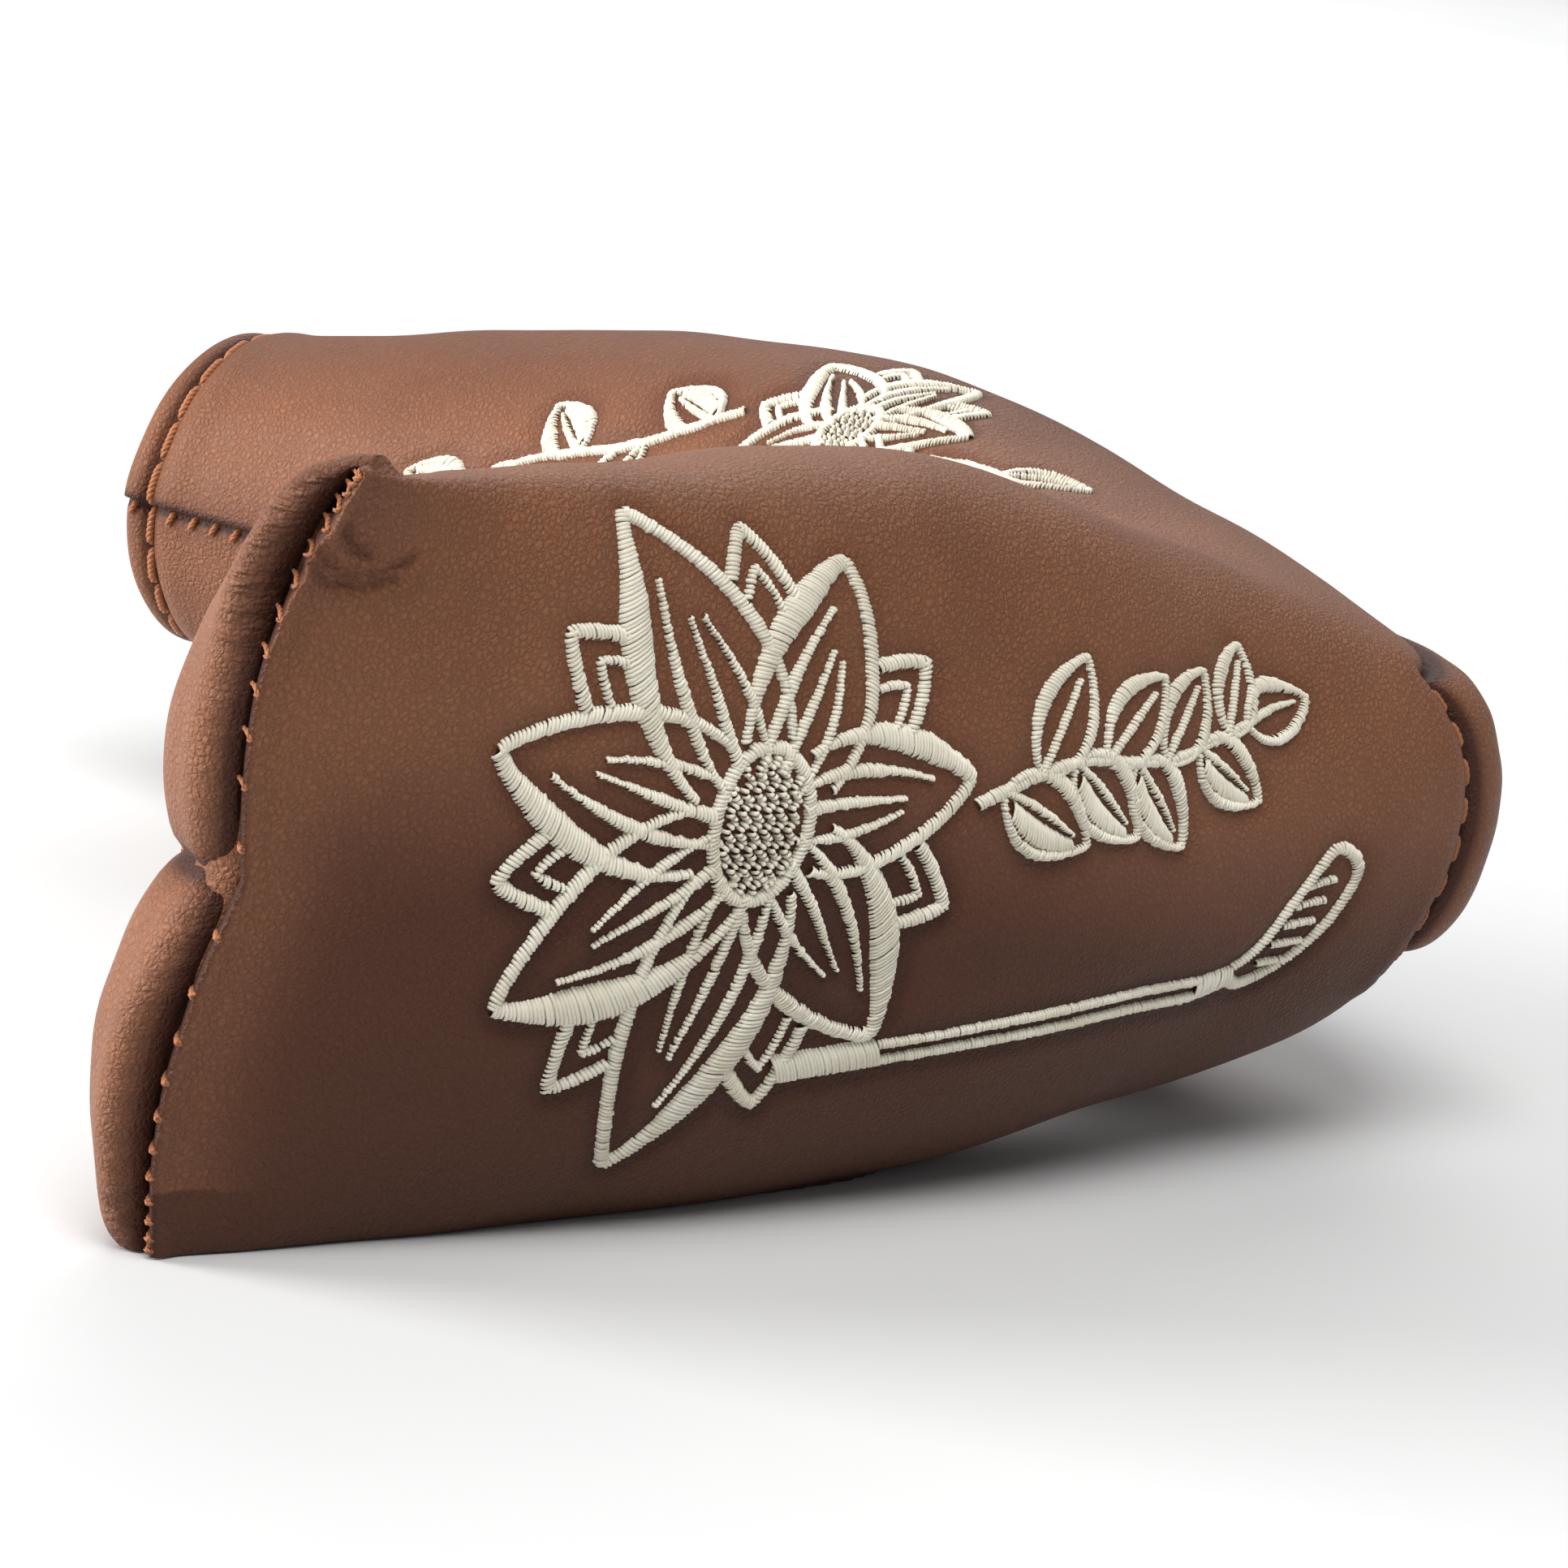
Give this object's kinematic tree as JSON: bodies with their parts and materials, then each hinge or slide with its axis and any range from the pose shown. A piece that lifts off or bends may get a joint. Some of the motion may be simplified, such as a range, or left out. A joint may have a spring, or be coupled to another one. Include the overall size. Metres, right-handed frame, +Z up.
{
  "type": "putter head cover",
  "caption": "L-shaped padded leather sleeve for a blade putter head, with a mouth for the shaft and a magnetic flap along the back of its neck.",
  "frame": {"origin": "middle of the bounding box, on the flat that the cover lies on", "axes": "+Z up with the cover lying on its side, +X along the neck towards its mouth, +Y towards the toe"},
  "size_m": [0.1684, 0.1865, 0.0735],
  "materials": {
    "leather": "smooth, finely pebbled brown leather with a soft sheen",
    "foam": "open-cell padding foam",
    "lining": "short plush pile",
    "seam_thread": "twisted sewing thread, slight gloss",
    "embroidery": "satin-stitch embroidery thread, silky",
    "magnet": "nickel-plated disc"
  },
  "bodies": {
    "cover": {"leather_body": "leather", "heel_panel": "leather", "collar_facing": "leather", "foam_padding": "foam", "plush_lining": "lining", "collar_topstitch": "seam_thread", "centre_seam_thread": "seam_thread", "toe_seam_thread": "seam_thread", "heel_seam_thread": "seam_thread", "embroidery_blossom": "embroidery", "embroidery_club": "embroidery", "embroidery_buds": "embroidery", "embroidery_side_blossom": "embroidery", "body_magnet_1": "magnet", "body_magnet_2": "magnet", "body_magnet_3": "magnet"},
    "flap": {"flap_leather": "leather", "flap_padding": "foam", "flap_lining": "lining", "flap_topstitch": "seam_thread", "flap_magnet_1": "magnet", "flap_magnet_2": "magnet", "flap_magnet_3": "magnet"}
  },
  "joints": [
    {"name": "flap_hinge", "type": "hinge", "parent": "cover", "child": "flap", "pos_m": [0.0222, -0.0846, 0.0491], "axis": [-0.9976, -0.0685, -0.0033], "range_deg": [0, 100]}
  ]
}
